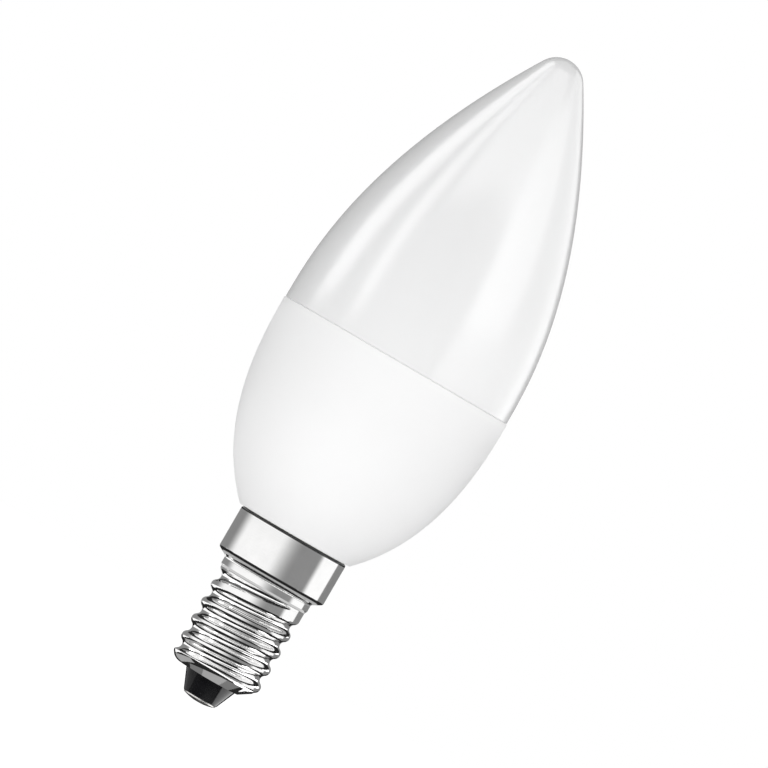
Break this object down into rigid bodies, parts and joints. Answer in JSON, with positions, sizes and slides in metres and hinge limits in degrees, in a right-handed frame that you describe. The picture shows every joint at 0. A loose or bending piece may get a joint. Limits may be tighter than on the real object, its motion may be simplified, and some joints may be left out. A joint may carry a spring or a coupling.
{
  "type": "candle bulb",
  "caption": "Candle-shaped LED lamp with an opal pointed diffuser on a white tapered housing, and a small Edison screw cap with a collar and a centre contact.",
  "frame": {"origin": "lowest point of the centre contact, on the lamp's axis, which is where the lampholder's spring meets it", "axes": "+Z along the lamp's axis from the cap to the pointed tip; +X and +Y across it, with the last full thread groove at -X"},
  "size_m": [0.0372, 0.0372, 0.107],
  "materials": {
    "opal_diffuser": "opal polycarbonate, satin",
    "white_housing": "white polymer, matte",
    "plated_shell": "nickel-plated brass sheet, bright",
    "black_glass": "opaque black insulating glass, glossy",
    "contact_plate": "plated contact plate, satin"
  },
  "bodies": {
    "root": {"diffuser": "opal_diffuser", "housing": "white_housing", "cap_shell": "plated_shell", "cap_insulator": "black_glass", "centre_contact": "contact_plate"}
  },
  "joints": []
}
